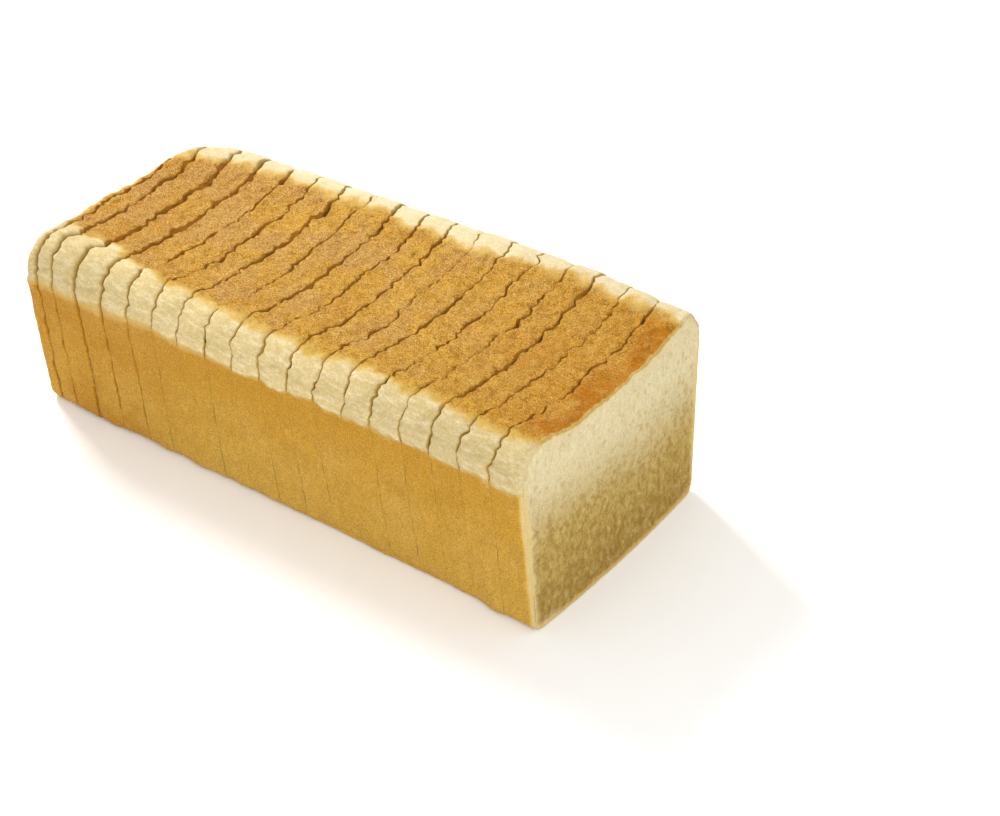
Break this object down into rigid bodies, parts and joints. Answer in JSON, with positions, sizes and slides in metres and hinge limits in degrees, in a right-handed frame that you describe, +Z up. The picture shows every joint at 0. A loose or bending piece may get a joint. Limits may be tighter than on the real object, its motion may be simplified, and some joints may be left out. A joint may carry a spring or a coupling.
{
  "type": "tin loaf",
  "caption": "Sliced white tin loaf with a flat golden top, pale rounded shoulders and tapered sides, its slices still standing together in a row.",
  "frame": {"origin": "on the table, under the middle of the loaf's box", "axes": "+X along the row of slices, from the crusted heel to the freshly cut end; +Y across the loaf, away from the side that is seen first; +Z up"},
  "size_m": [0.2574, 0.1196, 0.0856],
  "materials": {
    "heel_bread": "matte",
    "sliced_bread": "matte",
    "cut_end_bread": "matte"
  },
  "bodies": {
    "root": {"far_heel": "heel_bread", "slice_02": "sliced_bread", "slice_03": "sliced_bread", "slice_04": "sliced_bread", "slice_05": "sliced_bread", "slice_06": "sliced_bread", "slice_07": "sliced_bread", "slice_08": "sliced_bread", "slice_09": "sliced_bread", "slice_10": "sliced_bread", "slice_11": "sliced_bread", "slice_12": "sliced_bread", "slice_13": "sliced_bread", "slice_14": "sliced_bread", "slice_15": "sliced_bread", "slice_16": "sliced_bread", "slice_17": "sliced_bread", "slice_18": "sliced_bread", "cut_end_slice": "cut_end_bread"}
  },
  "joints": []
}
